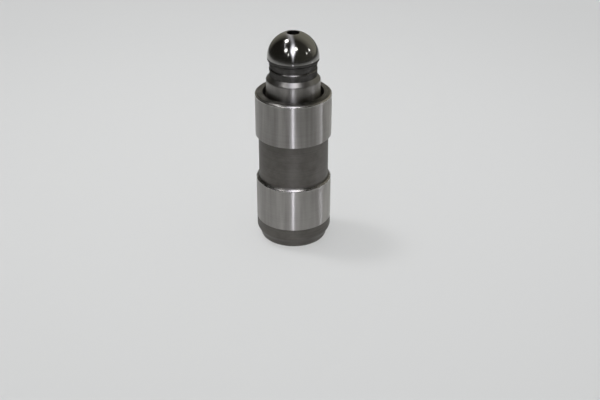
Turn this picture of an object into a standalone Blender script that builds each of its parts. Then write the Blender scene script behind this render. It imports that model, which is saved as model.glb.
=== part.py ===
"""Hydraulic valve lifter with a ball head, in metres, standing on its base at Z = 0 with its axis on Z.

A closed-bottom body holds two stacked plungers on a return spring. The upper plunger ends in the ball
that a finger follower pivots on, and the lower one carries the check valve: a ball, its spring and a
pressed cage. A wire ring in the body's mouth keeps the plungers in.
"""

import math

import bmesh
import bpy
from mathutils import Matrix, Vector

# Lifter body, from the base up
LAND_DIAMETER = 0.0120
OIL_GROOVE_DEPTH = 0.00046
BODY_WALL = 0.0010
FLOOR_THICKNESS = 0.0028
FOOT_HEIGHT = 0.00357
LOWER_LAND_LENGTH = 0.00702
OIL_GROOVE_LENGTH = 0.00759
UPPER_LAND_LENGTH = 0.0071
FOOT_STEP = 0.00003
FOOT_CONE_TOP = 0.00178
FOOT_CONE_DEPTH = 0.00037
FOOT_EDGE_HEIGHT = 0.00108
FOOT_TAPER = 0.0003
FOOT_CORNER_RADIUS = 0.00025
RIM_BEVEL = 0.00025
MOUTH_STEP = 0.00025
MOUTH_DEPTH = 0.0012
BORE_CORNER_RADIUS = 0.0004
FEED_HOLE_DIAMETER = 0.0020

# Retaining ring in the mouth
RING_WIRE_DIAMETER = 0.0005
RING_DEPTH = 0.0018
RING_GAP_DEGREES = 32.0

# Ball plunger, the upper one
SHANK_STEP = 0.00027
SKIRT_OVERHANG = 0.0019
WAIST_DEPTH = 0.0004
WAIST_BELOW_FEED = 0.0008
WAIST_ABOVE_FEED = 0.0028
SKIRT_WALL = 0.0015
INLET_HOLE_DIAMETER = 0.0016
SHANK_STANDOFF = 0.00211
SHOULDER_RADIUS = 0.00066
BALL_DIAMETER = 0.00806
NECK_DEPTH = 0.00034
NECK_RIDGE = 0.00006
UPPER_HOLLOW = 0.00042
HOLLOW_WIDTH = 0.00059
HOLLOW_PITCH = 0.0004
COLLAR_DEPTH = 0.00029
COLLAR_RISE = 0.0005
COLLAR_LENGTH = 0.00032
NECK_FLARE = 0.00036
BALL_BELOW_CENTRE = 0.0003
BALL_OIL_HOLE_DIAMETER = 0.0019
OIL_HOLE_BEVEL = 0.00006
EDGE_BEVEL = 0.00015

# Pressure plunger, the lower one, and its check valve
PRESSURE_PLUNGER_LENGTH = 0.0035
PRESSURE_PLUNGER_WALL = 0.0019
VALVE_WEB = 0.0012
CAGE_RECESS_DEPTH = 0.0005
SEAT_HOLE_DIAMETER = 0.0016
SEAT_DEPTH = 0.0006
CHECK_BALL_DIAMETER = 0.0024
CHECK_SPRING_LENGTH = 0.00106
CHECK_SPRING_WIRE = 0.00015
CHECK_SPRING_TURNS = 4.0
CAGE_SHEET = 0.00025
CAGE_FLANGE_DIAMETER = 0.0068
CAGE_WINDOWS = 3
CAGE_WINDOW_WIDTH = 0.0011
CAGE_DRAIN_DIAMETER = 0.0007

# Return spring in the pressure chamber
RETURN_SPRING_WIRE = 0.0006
RETURN_SPRING_TURNS = 5.0

# Clearances
RUNNING_CLEARANCE = 0.00003
SEAT_GAP = 0.00003
RING_CLEARANCE = 0.00005
CAGE_BALL_CLEARANCE = 0.0003
COIL_GAP = 0.00003

# Fineness of the round shapes
TURNED_SIDES = 48
VALVE_SIDES = 36
BALL_ARC_STEPS = 12
EASE_STEPS = 3
CORNER_STEPS = 4
SHOULDER_STEPS = 6
RETURN_POINTS_PER_TURN = 20
CHECK_POINTS_PER_TURN = 12
RING_POINTS = 34

# Radii that follow from the body's outside inwards
land_radius = LAND_DIAMETER / 2
groove_radius = land_radius - OIL_GROOVE_DEPTH
bore_radius = groove_radius - BODY_WALL
plunger_radius = bore_radius - RUNNING_CLEARANCE
shank_radius = plunger_radius - SHANK_STEP
ring_inner_radius = shank_radius + RING_CLEARANCE
ring_middle_radius = ring_inner_radius + RING_WIRE_DIAMETER / 2
ring_groove_radius = ring_inner_radius + RING_WIRE_DIAMETER + RING_CLEARANCE
ball_radius = BALL_DIAMETER / 2
check_ball_radius = CHECK_BALL_DIAMETER / 2

# Heights that follow from the base up
lower_land_top = FOOT_HEIGHT + LOWER_LAND_LENGTH
upper_land_base = lower_land_top + OIL_GROOVE_LENGTH
rim_height = upper_land_base + UPPER_LAND_LENGTH
feed_height = (lower_land_top + upper_land_base) / 2
ring_height = rim_height - RING_DEPTH
stop_height = ring_height - RING_WIRE_DIAMETER / 2 - SEAT_GAP
skirt_base = feed_height - SKIRT_OVERHANG
pressure_top = skirt_base - SEAT_GAP
pressure_base = pressure_top - PRESSURE_PLUNGER_LENGTH
recess_ceiling = pressure_base + CAGE_RECESS_DEPTH
seat_top = recess_ceiling + SEAT_DEPTH


def material(name, colour, roughness, metallic=1.0):
    """A Principled material of one colour, roughness and metallic value."""
    made = bpy.data.materials.new(name)
    made.use_nodes = True
    shader = made.node_tree.nodes["Principled BSDF"]
    shader.inputs["Base Color"].default_value = (*colour, 1.0)
    shader.inputs["Roughness"].default_value = roughness
    shader.inputs["Metallic"].default_value = metallic
    return made


def add_object(name, data, finish, smooth_degrees=30.0):
    """Puts mesh or curve data in the scene under a name, with its material and smooth round sides."""
    made = bpy.data.objects.new(name, data)
    bpy.context.scene.collection.objects.link(made)
    data.materials.append(finish)
    if made.type == "MESH":
        data.shade_smooth()
        data.set_sharp_from_angle(angle=math.radians(smooth_degrees))
    return made


def turned(name, outline, sides):
    """A mesh turned about Z from a closed outline of (radius, height) points."""
    shape = bmesh.new()
    corners = [shape.verts.new((radius, 0.0, height)) for radius, height in outline]
    edges = [shape.edges.new(pair) for pair in zip(corners, corners[1:] + corners[:1])]
    on_axis = [edge for edge in edges if all(corner.co.x == 0.0 for corner in edge.verts)]
    bmesh.ops.delete(shape, geom=on_axis, context="EDGES_FACES")
    bmesh.ops.spin(
        shape,
        geom=shape.verts[:] + shape.edges[:],
        axis=(0.0, 0.0, 1.0),
        cent=(0.0, 0.0, 0.0),
        angle=math.tau,
        steps=sides,
        use_merge=True,
    )
    bmesh.ops.remove_doubles(shape, verts=shape.verts[:], dist=1e-8)
    bmesh.ops.recalc_face_normals(shape, faces=shape.faces[:])
    mesh = bpy.data.meshes.new(name)
    shape.to_mesh(mesh)
    shape.free()
    return mesh


def arc(centre, radius, start_degrees, end_degrees, steps):
    """Points on a circle in the (radius, height) plane, both ends included."""
    turns = [start_degrees + (end_degrees - start_degrees) * step / steps for step in range(steps + 1)]
    return [
        (
            centre[0] + radius * math.cos(math.radians(turn)),
            centre[1] + radius * math.sin(math.radians(turn)),
        )
        for turn in turns
    ]


def ease(start, end, steps):
    """Points of a half cosine wave between two heights, so that it leaves and arrives upright."""
    points = []
    for step in range(1, steps + 1):
        share = step / steps
        blend = (1.0 - math.cos(math.pi * share)) / 2.0
        points.append((start[0] + (end[0] - start[0]) * blend, start[1] + (end[1] - start[1]) * share))
    return points


def cutter(name, mesh):
    """A hidden helper for a Boolean."""
    made = bpy.data.objects.new(name, mesh)
    bpy.context.scene.collection.objects.link(made)
    made.hide_render = True
    made.display_type = "WIRE"
    return made


def radial_hole(target, name, diameter, inner, outer, height, bearing_degrees=90.0):
    """Drills a round hole from radius inner to radius outer, at a bearing counted from +X."""
    shape = bmesh.new()
    bmesh.ops.create_cone(
        shape,
        cap_ends=True,
        segments=20,
        radius1=diameter / 2,
        radius2=diameter / 2,
        depth=outer - inner,
    )
    middle = Vector(((inner + outer) / 2, 0.0, height))
    lay = Matrix.Rotation(math.radians(90.0), 4, "Y")
    turn = Matrix.Rotation(math.radians(bearing_degrees), 4, "Z")
    bmesh.ops.transform(shape, matrix=turn @ Matrix.Translation(middle) @ lay, verts=shape.verts[:])
    mesh = bpy.data.meshes.new(name)
    shape.to_mesh(mesh)
    shape.free()
    cut = target.modifiers.new(name, "BOOLEAN")
    cut.operation = "DIFFERENCE"
    cut.solver = "EXACT"
    cut.object = cutter(name, mesh)


def wire(name, points, diameter, finish):
    """A round wire along a list of points, with closed ends."""
    curve = bpy.data.curves.new(name, "CURVE")
    curve.dimensions = "3D"
    curve.bevel_depth = diameter / 2
    curve.bevel_resolution = 2
    curve.use_fill_caps = True
    spline = curve.splines.new("POLY")
    spline.points.add(len(points) - 1)
    for point, place in zip(spline.points, points):
        point.co = (*place, 1.0)
    return add_object(name, curve, finish)


def coil(middle_radius, diameter, low, high, turns, points_per_turn):
    """Centre line of a compression spring whose first and last turns lie closed on their neighbours.

    The height climbs by one closed pitch over each end turn and evenly over the turns between.
    """
    closed_rise = diameter + COIL_GAP
    first = low + diameter / 2
    last = high - diameter / 2
    open_turns = turns - 2.0
    open_rise = last - first - 2.0 * closed_rise
    points = []
    count = round(turns * points_per_turn)
    for index in range(count + 1):
        turn = turns * index / count
        opened = min(max(turn - 1.0, 0.0), open_turns)
        closed = turn - opened
        height = first + closed * closed_rise + open_rise * opened / open_turns
        angle = math.tau * turn
        points.append((middle_radius * math.cos(angle), middle_radius * math.sin(angle), height))
    return points


def lifter_body(finish):
    """The closed-bottom cup: stepped cone foot, lower land, oil groove, upper land, rim, blind bore."""
    foot_radius = land_radius - FOOT_STEP
    foot_edge_radius = foot_radius - FOOT_CONE_DEPTH
    base_radius = foot_edge_radius - FOOT_TAPER
    turn_in = FOOT_CORNER_RADIUS
    mouth_radius = bore_radius + MOUTH_STEP
    mouth_floor = rim_height - MOUTH_DEPTH
    ring_slot_top = ring_height + RING_WIRE_DIAMETER / 2 + RING_CLEARANCE
    ring_slot_base = ring_height - RING_WIRE_DIAMETER / 2 - RING_CLEARANCE
    bore_floor = FLOOR_THICKNESS
    corner = BORE_CORNER_RADIUS
    outline = [(0.0, 0.0)]
    outline += arc((base_radius - turn_in, turn_in), turn_in, -90.0, 0.0, CORNER_STEPS)
    outline += [
        (foot_edge_radius, FOOT_EDGE_HEIGHT),
        (foot_radius, FOOT_CONE_TOP),
        (foot_radius, FOOT_HEIGHT - FOOT_STEP),
        (land_radius, FOOT_HEIGHT),
        (land_radius, lower_land_top),
        (groove_radius, lower_land_top + OIL_GROOVE_DEPTH),
        (groove_radius, upper_land_base),
        (land_radius, upper_land_base),
        (land_radius, rim_height - RIM_BEVEL),
        (land_radius - RIM_BEVEL, rim_height),
        (mouth_radius, rim_height),
        (mouth_radius, mouth_floor),
        (bore_radius, mouth_floor - MOUTH_STEP),
        (bore_radius, ring_slot_top),
        (ring_groove_radius, ring_slot_top),
        (ring_groove_radius, ring_slot_base),
        (bore_radius, ring_slot_base),
    ]
    outline += arc((bore_radius - corner, bore_floor + corner), corner, 0.0, -90.0, CORNER_STEPS)
    outline += [(0.0, bore_floor)]
    body = add_object("lifter_body", turned("lifter_body", outline, TURNED_SIDES), finish)
    past_wall = BODY_WALL / 2
    radial_hole(
        body,
        "feed_hole_cutter",
        FEED_HOLE_DIAMETER,
        bore_radius - past_wall,
        land_radius + past_wall,
        feed_height,
    )
    return body


def retaining_ring(finish):
    """A split ring of round wire in the mouth's groove, with its gap at the back."""
    half_gap = RING_GAP_DEGREES / 2
    start = 90.0 + half_gap
    sweep = 360.0 - 2.0 * half_gap
    points = []
    for index in range(RING_POINTS + 1):
        angle = math.radians(start + sweep * index / RING_POINTS)
        points.append(
            (ring_middle_radius * math.cos(angle), ring_middle_radius * math.sin(angle), ring_height)
        )
    return wire("retaining_ring", points, RING_WIRE_DIAMETER, finish)


def ball_head_outline(shank_top):
    """The outside above the shank: rounded shoulder, two hollows with a ridge between, collar, ball.

    The ball sits on the neck: the collar's flare meets its sphere a little below the centre.
    """
    neck_radius = ball_radius - NECK_DEPTH
    shoulder_centre = (shank_radius - SHOULDER_RADIUS, shank_top)
    reach = max(min((neck_radius - shoulder_centre[0]) / SHOULDER_RADIUS, 0.98), -0.98)
    shoulder_turn = math.degrees(math.acos(reach))
    outline = arc(shoulder_centre, SHOULDER_RADIUS, 0.0, shoulder_turn, SHOULDER_STEPS)
    low_hollow = outline[-1][1] + HOLLOW_WIDTH
    ridge = (neck_radius + NECK_RIDGE, low_hollow + HOLLOW_PITCH)
    high_hollow = (ball_radius - UPPER_HOLLOW, ridge[1] + HOLLOW_PITCH)
    outline += [(neck_radius, low_hollow)]
    outline += ease((neck_radius, low_hollow), ridge, EASE_STEPS)
    outline += ease(ridge, high_hollow, EASE_STEPS)
    collar_base = (ball_radius - COLLAR_DEPTH, high_hollow[1] + COLLAR_RISE)
    collar_top = (collar_base[0], collar_base[1] + COLLAR_LENGTH)
    flare_end = (math.sqrt(ball_radius**2 - BALL_BELOW_CENTRE**2), collar_top[1] + NECK_FLARE)
    outline += ease(high_hollow, collar_base, EASE_STEPS)
    outline += [collar_top, flare_end]
    ball_centre = flare_end[1] + BALL_BELOW_CENTRE
    hole_edge = BALL_OIL_HOLE_DIAMETER / 2 + OIL_HOLE_BEVEL
    start = -math.degrees(math.asin(BALL_BELOW_CENTRE / ball_radius))
    end = math.degrees(math.acos(hole_edge / ball_radius))
    outline += arc((0.0, ball_centre), ball_radius, start, end, BALL_ARC_STEPS)[1:]
    return outline


def ball_plunger(finish):
    """The upper plunger: skirt with an oil waist, stop shoulder, shank, neck, drilled ball, reservoir."""
    shank_top = rim_height + SHANK_STANDOFF
    waist_low = feed_height - WAIST_BELOW_FEED
    waist_high = feed_height + WAIST_ABOVE_FEED
    waist_radius = plunger_radius - WAIST_DEPTH
    reservoir_radius = plunger_radius - SKIRT_WALL
    hole_radius = BALL_OIL_HOLE_DIAMETER / 2
    head = ball_head_outline(shank_top)
    hole_top = head[-1][1] - OIL_HOLE_BEVEL
    reservoir_rise = reservoir_radius - hole_radius
    outline = [
        (reservoir_radius, skirt_base),
        (plunger_radius - EDGE_BEVEL, skirt_base),
        (plunger_radius, skirt_base + EDGE_BEVEL),
        (plunger_radius, waist_low),
        (waist_radius, waist_low + WAIST_DEPTH / 2),
        (waist_radius, waist_high - WAIST_DEPTH / 2),
        (plunger_radius, waist_high),
        (plunger_radius, stop_height),
        (shank_radius, stop_height),
    ]
    outline += head
    outline += [
        (hole_radius, hole_top),
        (hole_radius, shank_top + reservoir_rise),
        (reservoir_radius, shank_top),
    ]
    plunger = add_object("ball_plunger", turned("ball_plunger", outline, TURNED_SIDES), finish)
    radial_hole(
        plunger,
        "inlet_hole_cutter",
        INLET_HOLE_DIAMETER,
        reservoir_radius - SKIRT_WALL / 2,
        plunger_radius + SKIRT_WALL / 2,
        (waist_low + waist_high) / 2,
    )
    return plunger


def pressure_plunger(finish):
    """The lower plunger: reservoir pocket above, valve seat through its web, cage recess below."""
    pocket_radius = plunger_radius - PRESSURE_PLUNGER_WALL
    recess_radius = CAGE_FLANGE_DIAMETER / 2 + RING_CLEARANCE
    seat_radius = SEAT_HOLE_DIAMETER / 2
    pocket_floor = recess_ceiling + VALVE_WEB
    outline = [
        (recess_radius, pressure_base),
        (plunger_radius - EDGE_BEVEL, pressure_base),
        (plunger_radius, pressure_base + EDGE_BEVEL),
        (plunger_radius, pressure_top - EDGE_BEVEL),
        (plunger_radius - EDGE_BEVEL, pressure_top),
        (pocket_radius, pressure_top),
        (pocket_radius, pocket_floor),
        (seat_radius, pocket_floor),
        (seat_radius, seat_top),
        (seat_radius + SEAT_DEPTH, recess_ceiling),
        (recess_radius, recess_ceiling),
    ]
    return add_object("pressure_plunger", turned("pressure_plunger", outline, TURNED_SIDES), finish)


def check_ball_height():
    """Centre of the ball when it rests on the seat's 45 degree cone, short of it by the seat gap."""
    slant = (check_ball_radius + SEAT_GAP) * math.sqrt(2.0)
    return seat_top + SEAT_HOLE_DIAMETER / 2 - slant


def check_ball(finish):
    """The valve's ball, with its origin at its own centre."""
    shape = bmesh.new()
    bmesh.ops.create_uvsphere(shape, u_segments=24, v_segments=14, radius=check_ball_radius)
    mesh = bpy.data.meshes.new("check_ball")
    shape.to_mesh(mesh)
    shape.free()
    ball = add_object("check_ball", mesh, finish, 60.0)
    ball.location = (0.0, 0.0, check_ball_height())
    return ball


def check_spring_radius():
    """Mean radius of the check spring, which cups the lower part of the ball."""
    return check_ball_radius / 2


def check_spring_top():
    """Height where the spring's top wire meets the ball: on the sphere about the ball's centre."""
    reach = check_ball_radius + CHECK_SPRING_WIRE / 2 + SEAT_GAP
    drop = math.sqrt(reach**2 - check_spring_radius() ** 2)
    return check_ball_height() - drop + CHECK_SPRING_WIRE / 2


def check_spring(finish):
    """The light spring between the cage's floor and the ball."""
    top = check_spring_top()
    points = coil(
        check_spring_radius(),
        CHECK_SPRING_WIRE,
        top - CHECK_SPRING_LENGTH,
        top,
        CHECK_SPRING_TURNS,
        CHECK_POINTS_PER_TURN,
    )
    return wire("check_spring", points, CHECK_SPRING_WIRE, finish)


def ball_cage(finish):
    """The pressed cap: a flange that the return spring holds in the recess, and a cup with windows."""
    inner_radius = check_ball_radius + CAGE_BALL_CLEARANCE
    outer_radius = inner_radius + CAGE_SHEET
    flange_top = recess_ceiling - SEAT_GAP
    flange_base = flange_top - CAGE_SHEET
    cup_floor = check_spring_top() - CHECK_SPRING_LENGTH - SEAT_GAP
    cup_base = cup_floor - CAGE_SHEET
    drain_radius = CAGE_DRAIN_DIAMETER / 2
    outline = [
        (drain_radius, cup_base),
        (outer_radius - CAGE_SHEET / 2, cup_base),
        (outer_radius, cup_base + CAGE_SHEET / 2),
        (outer_radius, flange_base),
        (CAGE_FLANGE_DIAMETER / 2, flange_base),
        (CAGE_FLANGE_DIAMETER / 2, flange_top),
        (inner_radius, flange_top),
        (inner_radius, cup_floor),
        (drain_radius, cup_floor),
    ]
    cage = add_object("ball_cage", turned("ball_cage", outline, VALVE_SIDES), finish)
    window_height = (cup_floor + flange_base) / 2
    for window in range(CAGE_WINDOWS):
        radial_hole(
            cage,
            f"cage_window_cutter_{window + 1}",
            CAGE_WINDOW_WIDTH,
            inner_radius - CAGE_SHEET,
            outer_radius + CAGE_SHEET,
            window_height,
            360.0 * window / CAGE_WINDOWS,
        )
    return cage


def return_spring(finish):
    """The spring from the bore's floor to the cage's flange, centred between the cup and the bore."""
    cup_radius = check_ball_radius + CAGE_BALL_CLEARANCE + CAGE_SHEET
    middle_radius = (cup_radius + CAGE_FLANGE_DIAMETER / 2 + RETURN_SPRING_WIRE / 2) / 2
    flange_base = recess_ceiling - SEAT_GAP - CAGE_SHEET
    points = coil(
        middle_radius,
        RETURN_SPRING_WIRE,
        FLOOR_THICKNESS + SEAT_GAP,
        flange_base - SEAT_GAP,
        RETURN_SPRING_TURNS,
        RETURN_POINTS_PER_TURN,
    )
    return wire("return_spring", points, RETURN_SPRING_WIRE, finish)


def main():
    for old in list(bpy.data.objects):
        bpy.data.objects.remove(old, do_unlink=True)
    stack = bpy.data.objects.new("plunger_stack", None)
    bpy.context.scene.collection.objects.link(stack)
    lifter_body(material("ground body steel", (0.36, 0.35, 0.34), 0.32))
    retaining_ring(material("ring wire", (0.30, 0.30, 0.31), 0.38))
    return_spring(material("return spring wire", (0.34, 0.34, 0.35), 0.35))
    stacked = [
        ball_plunger(material("polished ball steel", (0.42, 0.42, 0.43), 0.12)),
        pressure_plunger(material("plunger steel", (0.40, 0.40, 0.41), 0.28)),
        ball_cage(material("pressed cage steel", (0.46, 0.45, 0.43), 0.34)),
        check_spring(material("check spring wire", (0.52, 0.52, 0.53), 0.30)),
        check_ball(material("bearing ball steel", (0.62, 0.62, 0.64), 0.08)),
    ]
    for piece in stacked:
        piece.parent = stack


main()
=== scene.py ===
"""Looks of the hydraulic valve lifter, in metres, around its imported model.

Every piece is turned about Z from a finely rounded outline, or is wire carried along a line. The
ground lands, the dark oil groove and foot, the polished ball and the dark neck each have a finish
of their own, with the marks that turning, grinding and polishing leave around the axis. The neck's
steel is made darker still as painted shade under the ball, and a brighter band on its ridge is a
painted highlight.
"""

import math

import bpy
import numpy as np
from mathutils import Matrix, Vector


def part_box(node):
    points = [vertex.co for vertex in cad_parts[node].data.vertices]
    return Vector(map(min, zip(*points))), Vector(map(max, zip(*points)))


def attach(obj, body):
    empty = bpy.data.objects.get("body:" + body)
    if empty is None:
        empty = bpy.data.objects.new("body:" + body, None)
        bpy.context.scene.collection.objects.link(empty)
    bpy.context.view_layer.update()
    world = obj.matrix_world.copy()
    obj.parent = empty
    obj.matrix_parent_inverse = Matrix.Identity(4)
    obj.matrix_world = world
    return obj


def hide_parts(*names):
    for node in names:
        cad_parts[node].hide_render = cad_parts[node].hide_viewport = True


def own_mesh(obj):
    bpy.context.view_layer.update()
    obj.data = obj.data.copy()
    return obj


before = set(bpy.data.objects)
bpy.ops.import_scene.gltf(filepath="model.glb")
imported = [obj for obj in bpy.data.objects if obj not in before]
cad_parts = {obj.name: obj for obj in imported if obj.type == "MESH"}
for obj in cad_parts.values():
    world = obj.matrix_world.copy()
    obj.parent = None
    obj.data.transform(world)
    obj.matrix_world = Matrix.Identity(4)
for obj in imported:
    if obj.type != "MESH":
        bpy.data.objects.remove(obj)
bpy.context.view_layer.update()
body_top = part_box("lifter_body")[1]
plunger_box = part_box("ball_plunger")
pressure_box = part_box("pressure_plunger")
cage_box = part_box("ball_cage")
ring_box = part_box("retaining_ring")
check_ball_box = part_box("check_ball")
return_spring_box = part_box("return_spring")
check_spring_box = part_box("check_spring")

# Body, from the base up
LAND_RADIUS = body_top.x
RIM_HEIGHT = body_top.z
GROOVE_RADIUS = LAND_RADIUS - 0.00046
BORE_RADIUS = GROOVE_RADIUS - 0.0010
MOUTH_RADIUS = BORE_RADIUS + 0.00025
MOUTH_FLOOR = RIM_HEIGHT - 0.0012
FOOT_STEP = 0.00003
FOOT_RADIUS = LAND_RADIUS - FOOT_STEP
FOOT_EDGE_RADIUS = FOOT_RADIUS - 0.00045
BASE_RADIUS = FOOT_EDGE_RADIUS - 0.0003
FOOT_EDGE_HEIGHT = 0.00108
FOOT_CONE_TOP = 0.00178
LOWER_LAND_BASE = 0.00357
LOWER_LAND_TOP = LOWER_LAND_BASE + 0.00702
UPPER_LAND_BASE = LOWER_LAND_TOP + 0.00759
RIM_BEVEL_WIDTH = 0.00033
RIM_BEVEL_HEIGHT = 0.00027
BORE_FLOOR = 0.0028
RING_HEIGHT = RIM_HEIGHT - 0.0018
RING_SLOT_RADIUS = MOUTH_RADIUS + 0.00005
RING_SLOT_HALF = 0.0003
FEED_HOLE_RADIUS = 0.0010
FEED_HEIGHT = (LOWER_LAND_TOP + UPPER_LAND_BASE) / 2

# Ball plunger
PLUNGER_RADIUS = plunger_box[1].x
SKIRT_BASE = plunger_box[0].z
SHANK_RADIUS = PLUNGER_RADIUS - 0.00027
STOP_HEIGHT = RING_HEIGHT - 0.00028
SHANK_TOP = RIM_HEIGHT + 0.00211
RESERVOIR_RADIUS = PLUNGER_RADIUS - 0.0015
WAIST_RADIUS = PLUNGER_RADIUS - 0.0004
WAIST_BASE = FEED_HEIGHT - 0.0008
WAIST_TOP = FEED_HEIGHT + 0.0028
BALL_RADIUS = 0.00403
NECK_RADIUS = BALL_RADIUS - 0.00034
OIL_HOLE_RADIUS = 0.00095
OIL_HOLE_BEVEL = 0.00006
INLET_HOLE_RADIUS = 0.0008

# Neck, from the shank up: each rise starts where the one before it ends
SHOULDER_START = 0.00004
SHOULDER_RISE = 0.00065
SHOULDER_DIP = 0.00003
SHOULDER_STAND = 0.0001
LOW_HOLLOW_RISE = 0.00059
RIDGE_RISE = 0.00046
RIDGE_STAND = 0.00007
HIGH_HOLLOW_RISE = 0.00029
HIGH_HOLLOW_RADIUS = BALL_RADIUS - 0.00043
COLLAR_RISE = 0.00055
COLLAR_RADIUS = BALL_RADIUS - 0.00029
COLLAR_HEIGHT = 0.00032
FLARE_RISE = 0.00036
BALL_BELOW_CENTRE = 0.0003
BALL_POLISH_START_DEGREES = 0.5

# Check valve
CHECK_BALL_RADIUS = (check_ball_box[1].x - check_ball_box[0].x) / 2
SEAT_RADIUS = 0.0008
SEAT_DEPTH = 0.0006
RECESS_DEPTH = 0.0005
VALVE_WEB = 0.0012
POCKET_RADIUS = PLUNGER_RADIUS - 0.0019
CAGE_SHEET = 0.00025
CAGE_CUP_RADIUS = CHECK_BALL_RADIUS + 0.0003
CAGE_DRAIN_RADIUS = 0.00035
CAGE_WINDOW_RADIUS = 0.00055
CAGE_BEND = 0.00011
CAGE_FOOT_CUT = 0.00016
CAGE_SIDE_GAP = 0.00005

# Springs and ring
RETURN_WIRE_RADIUS = 0.0003
RETURN_TURNS = 5.0
CHECK_WIRE_RADIUS = 0.000075
CHECK_TURNS = 4.0
CLOSED_TURN_GAP = 0.00003
RING_HALF_GAP_DEGREES = 16.0

# How far a corner is cut back before it is rounded
SHARP_CUT = 0.00002
DRAIN_CUT = 0.00003
FINE_CUT = 0.00004
SOFT_CUT = 0.0001
GROOVE_CUT = 0.00012
END_CUT = 0.00015
FOOT_CUT = 0.0003
DEEP_CUT = 0.0004

# Floor and room
SHEET_COLOUR = (0.67, 0.675, 0.675)
WARM = (1.0, 0.97, 0.82)
COOL = (0.9, 0.9, 1.0)
FLOOR_REACH = 3.0
FLOOR_DROP = 0.00001
CLOTH_REACH = 0.66
CLOTH_HEIGHT = 0.0004
STREAK_START = 0.0055
STREAK_END = 0.094
STREAK_HEIGHT = 0.0005
ROOM_RADIUS = 0.7
LAMP_DISTANCE = 0.45
AIM_HEIGHT = 0.02

# Photograph's camera, in the object's frame
IMAGE_WIDTH = 600
FOCAL_PIXELS = 1060.0
SENSOR_MM = 36.0
CAMERA_PLACE = (0.00104, -0.152, 0.09072)
CAMERA_PITCH_DEGREES = 29.18


# Outlines and surfaces


def rounded(corners, steps=5):
    """A closed outline with each corner cut back along both its sides and bridged by a curve.

    The bridge is (1-s)^2 A + 2s(1-s) C + s^2 B: C the corner, A and B the points a cut from it.
    A point half a cut further out on each side keeps the shading of the long faces flat. Corners
    are (radius, height, cut, finish); the result is points and the finish of the side after each.
    """
    place = np.array([corner[:2] for corner in corners])
    cut = np.array([corner[2] for corner in corners])[:, None]
    finish = np.array([corner[3] for corner in corners])
    before = np.roll(place, 1, axis=0) - place
    after = np.roll(place, -1, axis=0) - place
    before /= np.maximum(np.linalg.norm(before, axis=1, keepdims=True), 1e-12)
    after /= np.maximum(np.linalg.norm(after, axis=1, keepdims=True), 1e-12)
    share = np.linspace(0.0, 1.0, steps)[None, :, None]
    start = (place + before * cut)[:, None]
    end = (place + after * cut)[:, None]
    corner = place[:, None]
    bridge = (1 - share) ** 2 * start + 2 * share * (1 - share) * corner + share**2 * end
    lead = (place + before * cut * 1.5)[:, None]
    tail = (place + after * cut * 1.5)[:, None]
    points = np.concatenate([lead, bridge, tail], axis=1).reshape(-1, 2)
    finishes = np.repeat(finish, steps + 2)
    step = np.linalg.norm(np.roll(points, -1, axis=0) - points, axis=1)
    keep = step > 1e-9
    return points[keep], finishes[keep]


def arc(middle_height, radius, start_degrees, end_degrees, count, finish):
    """Corners with no cut on a circle about the axis: radius times (cos, sin) of the turn."""
    turn = np.radians(np.linspace(start_degrees, end_degrees, count))
    radii, heights = radius * np.cos(turn), middle_height + radius * np.sin(turn)
    return [(r, h, 0.0, finish) for r, h in zip(radii, heights)]


def wave(start, end, count, finish):
    """Corners of a half cosine wave between two (radius, height) points, start left out."""
    share = np.linspace(0.0, 1.0, count + 1)[1:]
    blend = (1.0 - np.cos(np.pi * share)) / 2.0
    radii = start[0] + (end[0] - start[0]) * blend
    heights = start[1] + (end[1] - start[1]) * share
    return [(r, h, 0.0, finish) for r, h in zip(radii, heights)]


def surface(name, points, faces, finishes, face_finish=None):
    """A smooth mesh object from points and faces, with one material a finish."""
    mesh = bpy.data.meshes.new(name)
    mesh.from_pydata(points.tolist(), [], faces)
    mesh.polygons.foreach_set("use_smooth", np.ones(len(faces), bool))
    for finish in finishes:
        mesh.materials.append(finish)
    if face_finish is not None:
        mesh.polygons.foreach_set("material_index", face_finish.astype(np.int32))
    mesh.validate()
    mesh.set_sharp_from_angle(angle=math.radians(50.0))
    made = bpy.data.objects.new(name, mesh)
    bpy.context.scene.collection.objects.link(made)
    return made


def turned(name, corners, finishes, sides=256):
    """A closed surface turned about Z: (r cos a, r sin a, h) for outline point (r, h) and angle a.

    The outline runs from the base up the outside and back down the inside. Points on the axis are
    one vertex each, with triangles around them.
    """
    outline, finish = rounded(corners)
    angle = np.linspace(0.0, 2.0 * np.pi, sides, endpoint=False)
    radius, height = outline[:, :1], outline[:, 1:]
    grid = np.stack(
        [radius * np.cos(angle), radius * np.sin(angle), height + 0.0 * angle], axis=2
    )
    rows = len(outline)
    on_axis = outline[:, 0] < 1e-9
    index = np.arange(rows * sides).reshape(rows, sides)
    index[on_axis] = index[on_axis, :1]
    following = np.roll(np.arange(rows), -1)
    across = np.roll(np.arange(sides), -1)
    above = index[following]
    quads = np.stack([index, index[:, across], above[:, across], above], axis=2)
    kept = ~(on_axis & on_axis[following])
    plain = kept & ~on_axis & ~on_axis[following]
    from_pole = kept & on_axis
    to_pole = kept & on_axis[following]
    groups = [
        (quads[plain].reshape(-1, 4), np.repeat(finish[plain], sides)),
        (quads[from_pole][:, :, [0, 2, 3]].reshape(-1, 3), np.repeat(finish[from_pole], sides)),
        (quads[to_pole][:, :, [0, 1, 2]].reshape(-1, 3), np.repeat(finish[to_pole], sides)),
    ]
    used = np.unique(np.concatenate([faces.ravel() for faces, _ in groups]))
    renumber = np.zeros(rows * sides, int)
    renumber[used] = np.arange(len(used))
    faces = [face for group, _ in groups for face in renumber[group].tolist()]
    face_finish = np.concatenate([values for _, values in groups])
    return surface(name, grid.reshape(-1, 3)[used], faces, finishes, face_finish)


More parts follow.
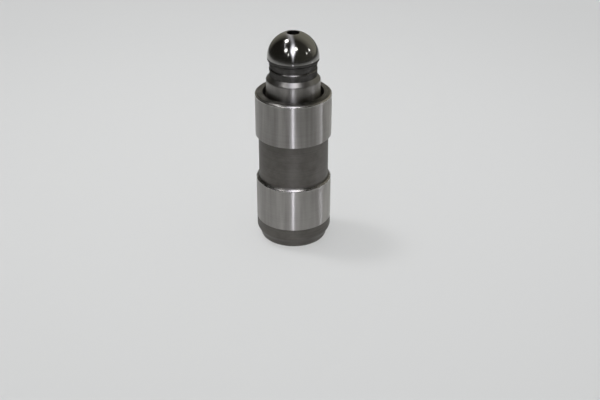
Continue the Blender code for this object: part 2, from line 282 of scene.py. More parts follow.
def wire(name, line, outward, wire_radius, finish, sides=20):
    """Round wire along a line: point + radius (cos b outward + sin b (direction x outward)).

    Each end is closed by triangles around its middle.
    """
    direction = np.gradient(line, axis=0)
    direction /= np.linalg.norm(direction, axis=1, keepdims=True)
    sideways = np.cross(direction, outward)
    turn = np.linspace(0.0, 2.0 * np.pi, sides, endpoint=False)[None, :, None]
    ring = np.cos(turn) * outward[:, None] + np.sin(turn) * sideways[:, None]
    grid = line[:, None] + wire_radius * ring
    count = len(line)
    index = np.arange(count * sides).reshape(count, sides)
    beside = np.roll(index, -1, axis=1)
    quads = np.stack([index[:-1], beside[:-1], beside[1:], index[1:]], axis=2).reshape(-1, 4)
    first = np.full(sides, count * sides)
    start = np.stack([first, beside[0], index[0]], axis=1)
    end = np.stack([first + 1, index[-1], beside[-1]], axis=1)
    points = np.concatenate([grid.reshape(-1, 3), line[:1], line[-1:]])
    return surface(name, points, quads.tolist() + start.tolist() + end.tolist(), [finish])


def coil(middle_radius, wire_radius, low, high, turns, closed_gap, per_turn=48):
    """Centre line and outward directions of a spring whose end turns lie closed.

    The height climbs by one wire and the gap over each end turn, and evenly between them.
    """
    turn = np.linspace(0.0, turns, round(turns * per_turn) + 1)
    opened = np.clip(turn - 1.0, 0.0, turns - 2.0)
    closed_rise = 2.0 * wire_radius + closed_gap
    free_rise = high - low - 2.0 * wire_radius - 2.0 * closed_rise
    height = low + wire_radius + (turn - opened) * closed_rise + free_rise * opened / (turns - 2.0)
    angle = 2.0 * np.pi * turn
    outward = np.stack([np.cos(angle), np.sin(angle), 0.0 * angle], axis=1)
    line = middle_radius * outward
    line[:, 2] = height
    return line, outward


def drilled(piece, radius, inner, outer, height, bearing_degrees, sides=48):
    """Cuts a round radial hole into a piece, from radius inner to radius outer, and returns it."""
    turn = np.linspace(0.0, 2.0 * np.pi, sides, endpoint=False)
    ring = radius * np.stack([np.cos(turn), np.sin(turn)], axis=1)
    reach = np.repeat([inner, outer], sides)
    local = np.column_stack([reach, np.tile(ring[:, 0], 2), height + np.tile(ring[:, 1], 2)])
    around = Matrix.Rotation(math.radians(bearing_degrees), 3, "Z")
    points = local @ np.array(around).T
    near = np.arange(sides)
    beside = np.roll(near, -1)
    walls = np.stack([near, beside, beside + sides, near + sides], axis=1).tolist()
    caps = [near[::-1].tolist(), (near + sides).tolist()]
    cutter = surface("hole", points, walls + caps, [])
    cut = piece.modifiers.new("hole", "BOOLEAN")
    cut.operation = "DIFFERENCE"
    cut.solver = "EXACT"
    cut.object = cutter
    view = bpy.context.evaluated_depsgraph_get()
    finished = bpy.data.meshes.new_from_object(piece.evaluated_get(view))
    piece.modifiers.clear()
    old = piece.data
    piece.data = finished
    bpy.data.meshes.remove(old)
    bpy.data.objects.remove(cutter)
    return piece


# Finishes


def new_material(name):
    """A node material with its output and a Principled shader, and a helper that adds nodes."""
    made = bpy.data.materials.new(name)
    made.use_nodes = True
    tree = made.node_tree
    shader = tree.nodes["Principled BSDF"]

    def add(kind, sockets=(), output=0, **settings):
        """One node: sockets maps input names or numbers to values or other nodes' outputs."""
        node = tree.nodes.new("ShaderNode" + kind)
        for key, value in settings.items():
            setattr(node, key, value)
        for key, value in dict(sockets).items():
            if isinstance(value, bpy.types.NodeSocket):
                tree.links.new(value, node.inputs[key])
            else:
                node.inputs[key].default_value = value
        return node.outputs[output]

    return made, shader, tree, add


def set_shader(tree, shader, values):
    """Sets Principled inputs by name, from plain values or from other nodes' outputs."""
    for key, value in values.items():
        if isinstance(value, bpy.types.NodeSocket):
            tree.links.new(value, shader.inputs[key])
        else:
            shader.inputs[key].default_value = value


def place(add):
    """Object coordinates."""
    return add("TexCoord", output=3)


def turning_marks(add, pitch, drift=60.0, detail=3.0):
    """Fine rings around the axis: noise over height plus radius, that drifts round the piece."""
    spot = place(add)
    flat = add("VectorMath", {0: spot, 1: (1.0, 1.0, 0.0)}, operation="MULTIPLY")
    radius = add("VectorMath", {0: flat}, output=1, operation="LENGTH")
    height = add("SeparateXYZ", {0: spot}, output=2)
    along = add("Math", {0: radius, 1: height}, operation="ADD")
    ring = add("Math", {0: along, 1: 1.0 / pitch}, operation="MULTIPLY")
    slow = add("VectorMath", {0: flat, 3: drift}, operation="SCALE")
    lift = add("CombineXYZ", {2: ring})
    spread = add("VectorMath", {0: slow, 1: lift}, operation="ADD")
    return add("TexNoise", {"Vector": spread, "Scale": 1.0, "Detail": detail, "Roughness": 0.6})


def cloud(add, size, detail=3.0, stretch=(1.0, 1.0, 1.0)):
    """Soft noise with features of about a size, in metres."""
    laid = add("Mapping", {"Vector": place(add), "Scale": stretch})
    sockets = {"Vector": laid, "Scale": 1.0 / size, "Detail": detail, "Roughness": 0.55}
    return add("TexNoise", sockets)


def fade(add, value, low, high, start=0.0, end=1.0):
    """Maps a value from low..high to start..end, held at both ends."""
    return add("MapRange", {0: value, 1: low, 2: high, 3: start, 4: end})


def across_noise(add, noise, start=0.0, end=1.0):
    """Maps the usual range of a noise, 0.3 to 0.7, to start..end."""
    return fade(add, noise, 0.3, 0.7, start, end)


def tint(add, factor, dark, light):
    """A colour between two, by a factor."""
    return add(
        "Mix", {0: factor, 6: (*dark, 1.0), 7: (*light, 1.0)}, output=2, data_type="RGBA"
    )


def relief(add, height, distance):
    """A bump from a height value, with its depth in metres."""
    return add("Bump", {"Height": height, "Distance": distance, "Strength": 1.0})


def ground_steel():
    """Centreless-ground steel: bright, with a grain round the axis that draws lamps upright."""
    made, shader, tree, add = new_material("ground_steel")
    grain = turning_marks(add, 0.00006)
    haze = cloud(add, 0.004, stretch=(1.0, 1.0, 0.35))
    wipes = cloud(add, 0.0009, detail=2.0, stretch=(1.0, 1.0, 0.06))
    scuffs = cloud(add, 0.0011, detail=6.0)
    stain = fade(add, scuffs, 0.58, 0.72, 0.0, 0.06)
    soft = add("Math", {0: haze, 1: across_noise(add, wipes)}, operation="ADD")
    shade = add("Math", {0: soft, 1: across_noise(add, grain, 0.0, 0.5)}, operation="ADD")
    colour = tint(add, fade(add, shade, 0.7, 1.8), (0.31, 0.297, 0.283), (0.45, 0.436, 0.418))
    rough = add("Math", {0: across_noise(add, grain, 0.30, 0.36), 1: stain}, operation="ADD")
    set_shader(
        tree,
        shader,
        {
            "Base Color": colour,
            "Metallic": 1.0,
            "Roughness": rough,
            "Anisotropic": 1.0,
            "Anisotropic Rotation": 0.25,
            "Tangent": add("Tangent", direction_type="RADIAL", axis="Z"),
            "Normal": relief(add, grain, 0.000003),
        },
    )
    return made


def edge_steel(name, roughness, brightness):
    """Bevels and the shoulder, turned smooth: an even sheen with no direction."""
    made, shader, tree, add = new_material(name)
    rings = turning_marks(add, 0.00005)
    blotch = cloud(add, 0.0009, detail=4.0)
    low, high = [
        tuple(brightness * share * part for part in (1.0, 0.97, 0.93)) for share in (0.95, 1.05)
    ]
    set_shader(
        tree,
        shader,
        {
            "Base Color": tint(add, across_noise(add, blotch), low, high),
            "Metallic": 1.0,
            "Roughness": across_noise(add, blotch, roughness - 0.02, roughness + 0.02),
            "Normal": relief(add, rings, 0.0000004),
        },
    )
    return made


def dark_steel(name, dark, light, roughness, pitch=0.00011, grain=0.4, edge_shine=1.0):
    """Hardened steel left as turned: dark brown-grey satin over fine tool rings.

    Grain draws its lights out across the rings, and edge_shine is its brightness where it is seen
    almost edge on.
    """
    made, shader, tree, add = new_material(name)
    rings = turning_marks(add, pitch, drift=25.0)
    blotch = cloud(add, 0.0016, detail=5.0)
    ring_shade = across_noise(add, rings, 0.35, 0.65)
    mixed = add("Math", {0: ring_shade, 1: blotch}, operation="MULTIPLY")
    set_shader(
        tree,
        shader,
        {
            "Base Color": tint(add, fade(add, mixed, 0.15, 0.36), dark, light),
            "Metallic": 1.0,
            "Roughness": across_noise(add, blotch, roughness - 0.05, roughness + 0.05),
            "Specular Tint": (edge_shine, edge_shine, edge_shine, 1.0),
            "Anisotropic": grain,
            "Anisotropic Rotation": 0.25,
            "Tangent": add("Tangent", direction_type="RADIAL", axis="Z"),
            "Normal": relief(add, rings, 0.0000015),
        },
    )
    return made


def polished_steel():
    """The ball's mirror polish, with hair-fine rings and the faintest haze."""
    made, shader, tree, add = new_material("polished_steel")
    rings = turning_marks(add, 0.00004)
    haze = cloud(add, 0.0015, detail=4.0)
    set_shader(
        tree,
        shader,
        {
            "Base Color": tint(add, haze, (0.32, 0.315, 0.30), (0.37, 0.362, 0.35)),
            "Metallic": 1.0,
            "Roughness": across_noise(add, haze, 0.11, 0.15),
            "Anisotropic": 0.7,
            "Anisotropic Rotation": 0.25,
            "Tangent": add("Tangent", direction_type="RADIAL", axis="Z"),
            "Normal": relief(add, rings, 0.0000001),
        },
    )
    return made


def drawn_wire(name, colour):
    """Drawn spring wire: even grey with fine lengthways streaks and a film of oil."""
    made, shader, tree, add = new_material(name)
    streak = cloud(add, 0.0003, detail=4.0)
    lighter = tuple(min(1.0, value * 1.3) for value in colour)
    set_shader(
        tree,
        shader,
        {
            "Base Color": tint(add, streak, colour, lighter),
            "Metallic": 1.0,
            "Roughness": across_noise(add, streak, 0.28, 0.40),
            "Coat Weight": 0.25,
            "Normal": relief(add, streak, 0.000002),
        },
    )
    return made


# Pieces

# Places in a piece's list of finishes. RING is the rim or the neck's ridge, where a brighter steel is a
# painted highlight, EDGE the rim's bevel or the shoulder, and SMOOTH the lower land's bevel or the ball.
DARK, GROUND, RING, EDGE, SMOOTH = range(5)


def lifter_body(finishes):
    """The closed-bottom cup in one closed surface, its feed hole at the back of the oil groove."""
    slot_top = RING_HEIGHT + RING_SLOT_HALF
    slot_base = RING_HEIGHT - RING_SLOT_HALF
    slope = LAND_RADIUS - GROOVE_RADIUS
    corners = [
        (0.0, 0.0, 0.0, DARK),
        (BASE_RADIUS, 0.0, DEEP_CUT, DARK),
        (FOOT_EDGE_RADIUS, FOOT_EDGE_HEIGHT, FOOT_CUT, DARK),
        (FOOT_RADIUS, FOOT_CONE_TOP, FOOT_CUT, DARK),
        (FOOT_RADIUS, LOWER_LAND_BASE - FOOT_STEP, SHARP_CUT / 2, DARK),
        (LAND_RADIUS, LOWER_LAND_BASE, SHARP_CUT, GROUND),
        (LAND_RADIUS, LOWER_LAND_TOP, SOFT_CUT, SMOOTH),
        (LAND_RADIUS - slope / 2, LOWER_LAND_TOP + slope / 2, 0.0, RING),
        (GROOVE_RADIUS, LOWER_LAND_TOP + slope, GROOVE_CUT, DARK),
        (GROOVE_RADIUS, UPPER_LAND_BASE, FINE_CUT, DARK),
        (LAND_RADIUS, UPPER_LAND_BASE, FINE_CUT, GROUND),
        (LAND_RADIUS, RIM_HEIGHT - RIM_BEVEL_HEIGHT, SOFT_CUT, EDGE),
        (LAND_RADIUS - RIM_BEVEL_WIDTH, RIM_HEIGHT, SOFT_CUT, RING),
        (MOUTH_RADIUS, RIM_HEIGHT, FINE_CUT, DARK),
        (MOUTH_RADIUS, MOUTH_FLOOR, FINE_CUT, DARK),
        (BORE_RADIUS, MOUTH_FLOOR - (MOUTH_RADIUS - BORE_RADIUS), FINE_CUT, DARK),
        (BORE_RADIUS, slot_top, FINE_CUT, DARK),
        (RING_SLOT_RADIUS, slot_top, FINE_CUT, DARK),
        (RING_SLOT_RADIUS, slot_base, FINE_CUT, DARK),
        (BORE_RADIUS, slot_base, FINE_CUT, DARK),
        (BORE_RADIUS, BORE_FLOOR, DEEP_CUT, DARK),
        (0.0, BORE_FLOOR, 0.0, DARK),
    ]
    body = turned("ground_body", corners, finishes)
    beyond = (LAND_RADIUS - BORE_RADIUS) / 3
    ends = (BORE_RADIUS - beyond, LAND_RADIUS + beyond)
    return drilled(body, FEED_HOLE_RADIUS, *ends, FEED_HEIGHT, 90.0)


def ball_plunger(finishes):
    """The upper plunger in one closed surface: skirt, shank, shoulder, neck, collar, drilled ball.

    The neck is half cosine waves from hollow to ridge and back, and the ball is an arc.
    """
    shoulder_end = SHANK_TOP + SHOULDER_RISE
    low_hollow = (NECK_RADIUS, shoulder_end + LOW_HOLLOW_RISE)
    ridge = (NECK_RADIUS + RIDGE_STAND, low_hollow[1] + RIDGE_RISE)
    high_hollow = (HIGH_HOLLOW_RADIUS, ridge[1] + HIGH_HOLLOW_RISE)
    collar_base = (COLLAR_RADIUS, high_hollow[1] + COLLAR_RISE)
    collar_top = collar_base[1] + COLLAR_HEIGHT
    flare_top = collar_top + FLARE_RISE
    ball_height = flare_top + BALL_BELOW_CENTRE
    ball_start = -math.degrees(math.asin(BALL_BELOW_CENTRE / BALL_RADIUS))
    ball_end = math.degrees(math.acos((OIL_HOLE_RADIUS + OIL_HOLE_BEVEL) / BALL_RADIUS))
    polish = BALL_POLISH_START_DEGREES
    hole_rim = ball_height + BALL_RADIUS * math.sin(math.radians(ball_end))
    taper = RESERVOIR_RADIUS - OIL_HOLE_RADIUS
    slope = (PLUNGER_RADIUS - WAIST_RADIUS) / 2
    corners = [
        (RESERVOIR_RADIUS, SKIRT_BASE, FINE_CUT, DARK),
        (PLUNGER_RADIUS, SKIRT_BASE, END_CUT, GROUND),
        (PLUNGER_RADIUS, WAIST_BASE, FINE_CUT, DARK),
        (WAIST_RADIUS, WAIST_BASE + slope, FINE_CUT, DARK),
        (WAIST_RADIUS, WAIST_TOP - slope, FINE_CUT, DARK),
        (PLUNGER_RADIUS, WAIST_TOP, FINE_CUT, GROUND),
        (PLUNGER_RADIUS, STOP_HEIGHT, FINE_CUT, GROUND),
        (SHANK_RADIUS, STOP_HEIGHT, FINE_CUT, GROUND),
        (SHANK_RADIUS, SHANK_TOP + SHOULDER_START, SOFT_CUT, EDGE),
        (NECK_RADIUS + SHOULDER_STAND, shoulder_end - SHOULDER_DIP, SOFT_CUT, EDGE),
        (NECK_RADIUS, shoulder_end + SHOULDER_STAND, FINE_CUT, DARK),
        (*low_hollow, 0.0, DARK),
    ]
    corners += wave(low_hollow, ridge, 8, DARK)[:-1]
    # The ridge and the first half of its slope up to the high hollow take the brighter RING steel, which
    # paints the ridge's highlight.
    corners += [(*ridge, 0.0, RING)]
    above_ridge = wave(ridge, high_hollow, 8, DARK)
    corners += [(*corner[:3], RING) for corner in above_ridge[:4]] + above_ridge[4:]
    corners += wave(high_hollow, collar_base, 8, DARK)
    corners += [
        (COLLAR_RADIUS, collar_top, SOFT_CUT, DARK),
        (BALL_RADIUS * math.cos(math.radians(ball_start)), flare_top, 2 * FINE_CUT, DARK),
    ]
    # Each arc stops short of the corners beside it, so that their rounding has room
    corners += arc(ball_height, BALL_RADIUS, ball_start + 2.0, polish, 4, DARK)
    corners += arc(ball_height, BALL_RADIUS, polish + 0.3, ball_end - 1.0, 72, SMOOTH)
    corners += [
        (OIL_HOLE_RADIUS + OIL_HOLE_BEVEL, hole_rim, SHARP_CUT, SMOOTH),
        (OIL_HOLE_RADIUS, hole_rim - OIL_HOLE_BEVEL, SHARP_CUT, DARK),
        (OIL_HOLE_RADIUS, SHANK_TOP + taper, FINE_CUT, DARK),
        (RESERVOIR_RADIUS, SHANK_TOP, FINE_CUT, DARK),
    ]
    plunger = turned("polished_plunger", corners, finishes)
    beyond = (PLUNGER_RADIUS - RESERVOIR_RADIUS) / 3
    ends = (RESERVOIR_RADIUS - beyond, PLUNGER_RADIUS + beyond)
    return drilled(plunger, INLET_HOLE_RADIUS, *ends, (WAIST_BASE + WAIST_TOP) / 2, 90.0)


def pressure_plunger(finishes):
    """The lower plunger: pocket above, seat through its web, recess for the cage below."""
    base, top = pressure_box[0].z, pressure_box[1].z
    recess_radius = cage_box[1].x + CAGE_SIDE_GAP
    recess = base + RECESS_DEPTH
    web = recess + VALVE_WEB
    corners = [
        (recess_radius, base, FINE_CUT, DARK),
        (PLUNGER_RADIUS, base, END_CUT, GROUND),
        (PLUNGER_RADIUS, top, END_CUT, DARK),
        (POCKET_RADIUS, top, FINE_CUT, DARK),
        (POCKET_RADIUS, web, 2 * SOFT_CUT, DARK),
        (SEAT_RADIUS, web, FINE_CUT, DARK),
        (SEAT_RADIUS, recess + SEAT_DEPTH, SHARP_CUT, GROUND),
        (SEAT_RADIUS + SEAT_DEPTH, recess, SHARP_CUT, DARK),
        (recess_radius, recess, SOFT_CUT, DARK),
    ]
    return turned("valve_plunger", corners, finishes)


def ball_cage(finish):
    """The pressed cap: flange, cup with a drain, and three round windows in the cup's wall."""
    cup_base, flange_top = cage_box[0].z, cage_box[1].z
    flange_base = flange_top - CAGE_SHEET
    outer = CAGE_CUP_RADIUS + CAGE_SHEET
    cup_floor = cup_base + CAGE_SHEET
    corners = [
        (CAGE_DRAIN_RADIUS, cup_base, DRAIN_CUT, 0),
        (outer, cup_base, CAGE_FOOT_CUT, 0),
        (outer, flange_base, CAGE_BEND / 2, 0),
        (cage_box[1].x, flange_base, FINE_CUT, 0),
        (cage_box[1].x, flange_top, FINE_CUT, 0),
        (CAGE_CUP_RADIUS, flange_top, CAGE_BEND, 0),
        (CAGE_CUP_RADIUS, cup_floor, CAGE_BEND / 2, 0),
        (CAGE_DRAIN_RADIUS, cup_floor, DRAIN_CUT, 0),
    ]
    cage = turned("valve_cage", corners, [finish], sides=160)
    ends = (CAGE_CUP_RADIUS - CAGE_SHEET, outer + CAGE_SHEET)
    height = (cup_floor + flange_base) / 2
    for bearing_degrees in (0.0, 120.0, 240.0):
        drilled(cage, CAGE_WINDOW_RADIUS, *ends, height, bearing_degrees)
    return cage


def check_ball(finish):
    """The bearing ball: a half circle turned about Z."""
    middle = (check_ball_box[0].z + check_ball_box[1].z) / 2
    corners = arc(middle, CHECK_BALL_RADIUS, -90.0, 90.0, 65, 0)[1:-1]
    low = (0.0, middle - CHECK_BALL_RADIUS, 0.0, 0)
    high = (0.0, middle + CHECK_BALL_RADIUS, 0.0, 0)
    return turned("bearing_ball", [low, *corners, high], [finish], sides=96)


def retaining_ring(finish):
    """The split ring of round wire, its gap at the back."""
    wire_radius = (ring_box[1].z - ring_box[0].z) / 2
    middle = ring_box[1].x - wire_radius
    height = (ring_box[0].z + ring_box[1].z) / 2
    half_gap = RING_HALF_GAP_DEGREES
    angle = np.radians(np.linspace(90.0 + half_gap, 450.0 - half_gap, 181))
    outward = np.stack([np.cos(angle), np.sin(angle), 0.0 * angle], axis=1)
    line = middle * outward
    line[:, 2] = height
    return wire("snap_ring", line, outward, wire_radius, finish)


def spring(name, box, wire_radius, middle_radius, turns, finish):
    """A compression spring that fills its node's height."""
    low, high = box[0].z, box[1].z
    line, outward = coil(middle_radius, wire_radius, low, high, turns, CLOSED_TURN_GAP)
    return wire(name, line, outward, wire_radius, finish)


def dress(piece, node, body):
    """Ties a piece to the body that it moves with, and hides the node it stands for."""
    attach(piece, body)
    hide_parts(node)


def build_pieces():
    """Makes every piece of the lifter and ties it to its body."""
    oiled = dark_steel(
        "oiled_dark_steel", (0.12, 0.113, 0.103), (0.174, 0.165, 0.152), 0.52, grain=0.0
    )
    rim = dark_steel(
        "rim_steel", (0.07, 0.067, 0.061), (0.21, 0.203, 0.19), 0.38, pitch=0.0002, grain=0.7
    )
    # The neck's own dark turned steel, made darker than the groove's as painted shade under the ball.
    neck = dark_steel(
        "neck_steel_and_painted_shade", (0.065, 0.063, 0.06), (0.105, 0.102, 0.097), 0.38, edge_shine=0.4
    )
    # The ridge's steel is the neck's steel made brighter: a painted highlight on the ridge.
    ridge = dark_steel(
        "ridge_painted_highlight_steel", (0.18, 0.175, 0.168), (0.25, 0.244, 0.234), 0.3, edge_shine=0.4
    )
    bevel = edge_steel("bevel_steel", 0.26, 0.56)
    step = edge_steel("step_steel", 0.27, 0.40)
    shoulder = edge_steel("shoulder_steel", 0.35, 0.29)
    ground = ground_steel()
    polished = polished_steel()
    body = lifter_body([oiled, ground, rim, bevel, step])
    dress(body, "lifter_body", "housing")
    head = ball_plunger([neck, ground, ridge, shoulder, polished])
    dress(head, "ball_plunger", "head")
    lower = pressure_plunger([oiled, ground])
    dress(lower, "pressure_plunger", "lower_plunger")
    pressed = drawn_wire("pressed_sheet", (0.38, 0.37, 0.35))
    dress(ball_cage(pressed), "ball_cage", "lower_plunger")
    bearing = drawn_wire("bearing_ball_steel", (0.5, 0.5, 0.52))
    dress(check_ball(bearing), "check_ball", "valve")
    steel = drawn_wire("spring_wire", (0.27, 0.27, 0.28))
    dress(retaining_ring(steel), "retaining_ring", "housing")
    main_spring = spring(
        "pressure_spring",
        return_spring_box,
        RETURN_WIRE_RADIUS,
        return_spring_box[1].x - RETURN_WIRE_RADIUS,
        RETURN_TURNS,
        steel,
    )
    dress(main_spring, "return_spring", "housing")
    small_spring = spring(
        "valve_spring",
        check_spring_box,
        CHECK_WIRE_RADIUS,
        CHECK_BALL_RADIUS / 2,
        CHECK_TURNS,
        steel,
    )
    dress(small_spring, "check_spring", "lower_plunger")
    for piece, box, joint in (
        (main_spring, return_spring_box, "plunger_stroke"),
        (small_spring, check_spring_box, "check_lift"),
    ):
        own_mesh(piece)


# Floor, cards, lamps and camera


def pale_sheet():
    """The floor's matt white, which far from the lifter passes into the room's even light."""
    made, shader, tree, add = new_material("pale_sheet")
    shader.inputs["Base Color"].default_value = (*SHEET_COLOUR, 1.0)
    shader.inputs["Roughness"].default_value = 0.9
    shader.inputs["Specular IOR Level"].default_value = 0.0
    glow = add("Emission", {"Color": (*SHEET_COLOUR, 1.0), "Strength": 1.0})
    distance = add("VectorMath", {0: place(add)}, output=1, operation="LENGTH")
    far = add("MapRange", {0: distance, 1: 0.09, 2: 0.24}, interpolation_type="SMOOTHSTEP")
    mixed = add("MixShader", {0: far, 1: shader.outputs["BSDF"], 2: glow})
    tree.links.new(mixed, tree.nodes["Material Output"].inputs["Surface"])
    return made


def flat_square(name, reach, height, material):
    """A level square about the axis that reaches as far each way."""
    corners = reach * np.array([(-1.0, -1.0), (1.0, -1.0), (1.0, 1.0), (-1.0, 1.0)])
    points = np.column_stack([corners, np.full(4, height)])
    return surface(name, points, [[0, 1, 2, 3]], [material])


def floor():
    """A wide pale sheet just under the base."""
    flat_square("floor", FLOOR_REACH, -FLOOR_DROP, pale_sheet())


def glowing(name, colour, light, cover=None):
    """A shader of nothing but light, which cover makes see-through in places: 0 clear, 1 whole."""
    made, shader, tree, add = new_material(name)
    whole = add("Emission", {"Color": (*colour, 1.0), "Strength": light})
    if cover:
        whole = add("MixShader", {0: cover(add), 1: add("BsdfTransparent"), 2: whole})
    tree.links.new(whole, tree.nodes["Material Output"].inputs["Surface"])
    return made


def along(add, direction):
    """How far the surface lies along a direction, from -1 to 1, seen from the lifter's base."""
    towards = add("VectorMath", {0: place(add)}, operation="NORMALIZE")
    return add("VectorMath", {0: towards, 1: direction}, output=1, operation="DOT_PRODUCT")


def room_light(add):
    """The dim room: nearly black in front and on the left, lighter to the back and the right."""
    back_light = fade(add, along(add, (0.35, 1.0, 0.15)), 0.3, 0.8, 0.0, 0.28)
    side_light = fade(add, along(add, (1.0, 0.0, 0.0)), -0.3, 1.0, 0.024, 0.07)
    return add("Math", {0: back_light, 1: side_light}, operation="ADD")


def window_band(add):
    """The tall window: a soft band from the front horizon to past overhead, leaning at the back.

    Its light is the product of three ramps over the backward part of the direction, and it fades to
    nothing at the band's half width, which has ramps of its own.
    """
    back = along(add, (0.0, 1.0, 0.0))
    rise = fade(add, back, -1.0, -0.78, 0.09, 1.0)
    fall = fade(add, back, -0.75, -0.15, 1.0, 0.13)
    end = fade(add, back, 0.7, 0.98, 6.5, 0.0)
    light = add("Math", {0: rise, 1: fall}, operation="MULTIPLY")
    light = add("Math", {0: light, 1: end}, operation="MULTIPLY")
    lean = fade(add, back, -0.2, 0.45, -0.01, -0.13)
    half_width = fade(add, back, -0.97, -0.72, 0.08, 0.23)
    narrowing = fade(add, back, -0.6, -0.3, 1.0, 0.7)
    half_width = add("Math", {0: half_width, 1: narrowing}, operation="MULTIPLY")
    aside = add("Math", {0: along(add, (1.0, 0.0, 0.0)), 1: lean}, operation="SUBTRACT")
    aside = add("Math", {0: aside}, operation="ABSOLUTE")
    return add("MapRange", {0: aside, 1: 0.0, 2: half_width, 3: light, 4: 0.0})


def dim_room():
    """The material of the room's dome: its own warm dim light and the window's cool light."""
    made, shader, tree, add = new_material("dim_room")
    room = add("Emission", {"Color": (*WARM, 1.0), "Strength": room_light(add)})
    window = add("Emission", {"Color": (*COOL, 1.0), "Strength": window_band(add)})
    both = add("AddShader", {0: room, 1: window})
    tree.links.new(both, tree.nodes["Material Output"].inputs["Surface"])
    return made


def cloth_cover(add):
    """How much of the sheet the dark cloth covers: least beside the lifter, most from 0.2 m in front."""
    shifted = add("VectorMath", {0: place(add), 1: (0.0, -0.04, 0.0)}, operation="ADD")
    distance = add("VectorMath", {0: shifted}, output=1, operation="LENGTH")
    ramp = {0: distance, 1: 0.035, 2: 0.24, 4: 0.96}
    return add("MapRange", ramp, interpolation_type="SMOOTHSTEP")


def room_dome(around=49, up=25):
    """The half sphere that only reflections see: its radius times the direction of both angles."""
    azimuth = np.radians(np.linspace(-180.0, 180.0, around))
    elevation = np.radians(np.linspace(0.0, 90.0, up))
    a, h = np.meshgrid(azimuth, elevation, indexing="ij")
    direction = np.stack([np.sin(a) * np.cos(h), -np.cos(a) * np.cos(h), np.sin(h)], axis=2)
    points = ROOM_RADIUS * direction.reshape(-1, 3)
    index = np.arange(around * up).reshape(around, up)
    corners = [index[:-1, :-1], index[1:, :-1], index[1:, 1:], index[:-1, 1:]]
    faces = np.stack(corners, axis=2).reshape(-1, 4)
    hide_from_view(surface("dim_room", points, faces.tolist(), [dim_room()]))


def hide_from_view(card):
    """Leaves a card to reflections alone."""
    card.visible_camera = False
    card.visible_diffuse = False
    card.visible_shadow = False


def toward(azimuth_degrees, elevation_degrees, distance=LAMP_DISTANCE):
    """A point that far away in a direction: azimuth from the camera's side towards +X."""
    azimuth, elevation = math.radians(azimuth_degrees), math.radians(elevation_degrees)
    return distance * np.array(
        [
            math.sin(azimuth) * math.cos(elevation),
            -math.cos(azimuth) * math.cos(elevation),
            math.sin(elevation),
        ]
    )


def ribbon(name, ends, width, material):
    """A flat strip between two points, square to the lifter."""
    start, end = ends
    side = np.cross(end - start, start + end)
    side *= width / 2 / np.linalg.norm(side)
    points = np.array([start - side, start + side, end + side, end - side])
    return surface(name, points, [[0, 1, 2, 3]], [material])


def floor_streak(name, azimuth_degrees, half_width_degrees, brightness):
    """A thin bright wedge on the floor, seen only in reflections, as a window leaves there.

    It runs along an azimuth from the point of the land that mirrors that azimuth to the camera.
    """
    turn = np.radians(azimuth_degrees + np.array([-1.0, 1.0]) * half_width_degrees)
    sides = np.stack([np.sin(turn), -np.cos(turn)], axis=1)
    half_turn = math.radians(azimuth_degrees / 2)
    foot = LAND_RADIUS * np.array([math.sin(half_turn), -math.cos(half_turn)])
    corners = foot + np.concatenate([STREAK_START * sides, STREAK_END * sides[::-1]])
    points = np.column_stack([corners, np.full(4, STREAK_HEIGHT)])
    hide_from_view(surface(name, points, [[0, 1, 2, 3]], [glowing(name, COOL, brightness)]))


def dark_cloth():
    """A dark cloth around the lit middle of the sheet, seen only in reflections."""
    cloth = glowing("dark_cloth", WARM, 0.03, cloth_cover)
    hide_from_view(flat_square("dark_cloth", CLOTH_REACH, CLOTH_HEIGHT, cloth))


def lamp(
    name,
    azimuth_degrees,
    elevation_degrees,
    size,
    radiance,
    distance=LAMP_DISTANCE,
    shadow=True,
    glossy=True,
    diffuse=True,
):
    """A round lamp that faces the lifter's middle: its power is pi times radiance times its area."""
    light = bpy.data.lights.new(name, "AREA")
    light.shape = "DISK"
    light.size = size
    light.energy = math.pi * radiance * (math.pi / 4 * size * size)
    light.use_shadow = shadow
    made = bpy.data.objects.new(name, light)
    aim = np.array([0.0, 0.0, AIM_HEIGHT])
    made.location = aim + toward(azimuth_degrees, elevation_degrees, distance)
    tilt, turn = 90.0 - elevation_degrees, azimuth_degrees
    made.rotation_euler = (math.radians(tilt), 0.0, math.radians(turn))
    made.visible_glossy = glossy
    made.visible_diffuse = diffuse
    made.visible_camera = False
    bpy.context.scene.collection.objects.link(made)


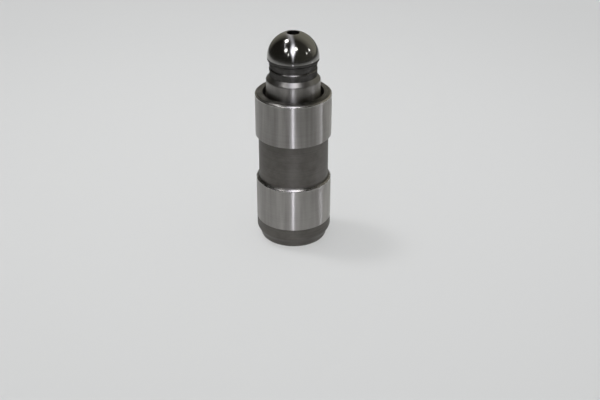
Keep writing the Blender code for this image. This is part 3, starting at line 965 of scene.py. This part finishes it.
def pale_room():
    """An even pale world, as the camera and reflections see it; it lights other surfaces less."""
    world = bpy.data.worlds.new("pale_room")
    world.use_nodes = True
    tree = world.node_tree
    background = tree.nodes["Background"]
    background.inputs["Color"].default_value = (*SHEET_COLOUR, 1.0)
    path = tree.nodes.new("ShaderNodeLightPath")
    seen = path.outputs["Is Camera Ray"]
    for kind in ("Is Glossy Ray", "Is Transmission Ray"):
        either = tree.nodes.new("ShaderNodeMath")
        either.operation = "MAXIMUM"
        tree.links.new(seen, either.inputs[0])
        tree.links.new(path.outputs[kind], either.inputs[1])
        seen = either.outputs[0]
    strength = tree.nodes.new("ShaderNodeMapRange")
    strength.inputs["To Min"].default_value = 0.4
    tree.links.new(seen, strength.inputs["Value"])
    tree.links.new(strength.outputs[0], background.inputs["Strength"])
    bpy.context.scene.world = world


def light_the_scene():
    """The pale room, what the steel reflects of its dim side, and the lamps it shows as spots."""
    pale_room()
    room_dome()
    dark_cloth()
    floor_streak("front_streak", -1.0, 1.6, 5.2)
    floor_streak("right_streak", 93.0, 0.6, 8.0)
    lamp("overhead", 180.0, 84.0, 0.02, 630.0, distance=0.3, shadow=False, glossy=False)
    lamp("left_high", -110.0, 67.0, 0.08, 20.0)
    # Only reflections see these: name, azimuth, elevation, size in metres, radiance
    for spot in (
        ("left_mid", -43.0, 44.0, 0.10, 5.4),
        ("left_low", -23.0, 29.5, 0.035, 7.0),
        ("main", 20.0, 54.0, 0.10, 5.4),
        ("right_far", 90.0, 25.0, 0.05, 7.0),
        ("right_near", 68.0, 22.6, 0.035, 6.0),
    ):
        lamp(*spot, diffuse=False)
    tube = [toward(-100.0, 64.0), toward(-52.0, 49.0)]
    hide_from_view(ribbon("left_tube", tube, 0.022, glowing("left_tube", COOL, 1.1)))


def photograph_camera():
    """The photograph's camera: lens is focal length in pixels times sensor over image width."""
    camera = bpy.data.cameras.new("camera")
    camera.sensor_width = SENSOR_MM
    camera.lens = FOCAL_PIXELS * SENSOR_MM / IMAGE_WIDTH
    camera.clip_start = 0.005
    made = bpy.data.objects.new("camera", camera)
    made.location = CAMERA_PLACE
    made.rotation_euler = (math.radians(90.0 - CAMERA_PITCH_DEGREES), 0.0, 0.0)
    bpy.context.scene.collection.objects.link(made)
    bpy.context.scene.camera = made


build_pieces()
floor()
light_the_scene()
photograph_camera()
bpy.context.scene.view_settings.view_transform = "Standard"
